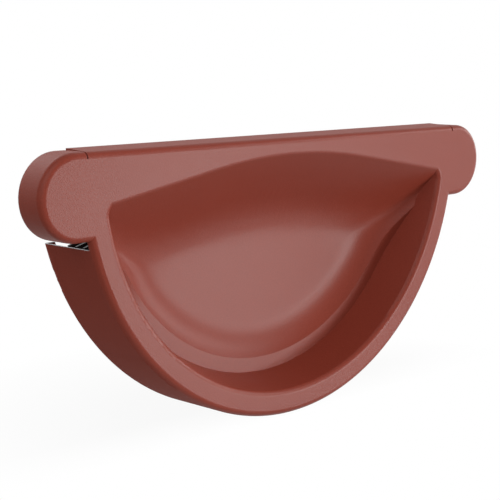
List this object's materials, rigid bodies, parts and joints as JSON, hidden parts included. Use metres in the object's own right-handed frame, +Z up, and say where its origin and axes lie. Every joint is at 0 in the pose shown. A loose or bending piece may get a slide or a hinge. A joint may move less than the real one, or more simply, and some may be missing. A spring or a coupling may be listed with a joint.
{
  "type": "gutter end cap",
  "caption": "Half-round gutter end cap, deep drawn from painted sheet steel, with round lobes over the gutter's beads and a finned rubber seal behind its rim.",
  "frame": {"origin": "on the axis of the gutter's half-round, in the plane of the cap's flat front face", "axes": "+X runs along the straight top edge, to the right seen from the front; +Y runs back into the gutter; +Z is up"},
  "size_m": [0.1524, 0.0185, 0.0696],
  "materials": {
    "paint": "oxide red, satin, very fine grain",
    "rubber": "black, matt"
  },
  "bodies": {
    "root": {"end_cap": "paint", "seal": "rubber"}
  },
  "joints": []
}
